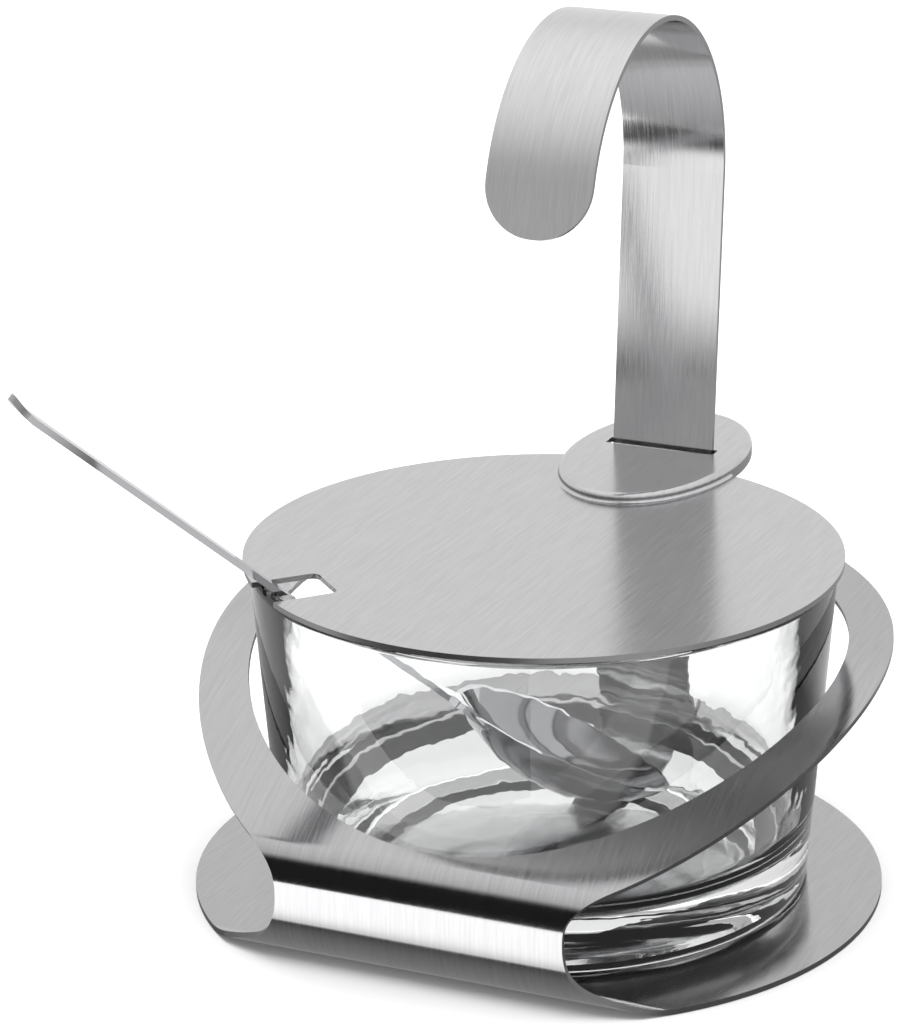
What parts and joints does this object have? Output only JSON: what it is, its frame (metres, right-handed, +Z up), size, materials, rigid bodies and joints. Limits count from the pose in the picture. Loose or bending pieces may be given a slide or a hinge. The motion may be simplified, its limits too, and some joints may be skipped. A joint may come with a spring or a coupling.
{
  "type": "sugar pot",
  "caption": "Glass bowl in a folded steel stand with a carrying hook, a tilting lid on the upright strip and a spoon through a notch in the lid.",
  "frame": {"origin": "underside of the base sheet, below the axis of the glass bowl", "axes": "+Z up, +Y towards the upright strip at the back, -Y towards the open roll at the front, +X to the right seen from the front"},
  "size_m": [0.1337, 0.1576, 0.1565],
  "materials": {
    "brushed_steel_sheet": "brushed stainless steel, hairlines front to back",
    "brushed_steel_strip": "brushed stainless steel, hairlines along the strip",
    "clear_glass": "clear pressed glass",
    "brushed_steel_lid": "brushed stainless steel, hairlines front to back",
    "polished_steel": "polished stainless steel"
  },
  "bodies": {
    "stand": {"stand": "brushed_steel_sheet", "post": "brushed_steel_strip", "glass": "clear_glass"},
    "lid": {"lid": "brushed_steel_lid"},
    "spoon": {"spoon": "polished_steel"}
  },
  "joints": [
    {"name": "lid_tilt", "type": "hinge", "parent": "stand", "child": "lid", "pos_m": [0, 0.06046, 0.06425], "axis": [-1, 0, 0], "range_deg": [0, 41]},
    {"name": "spoon_lift", "type": "slide", "parent": "stand", "child": "spoon", "axis": [-0.5147, -0.552, 0.6561], "range_m": [0, 0.044]}
  ]
}
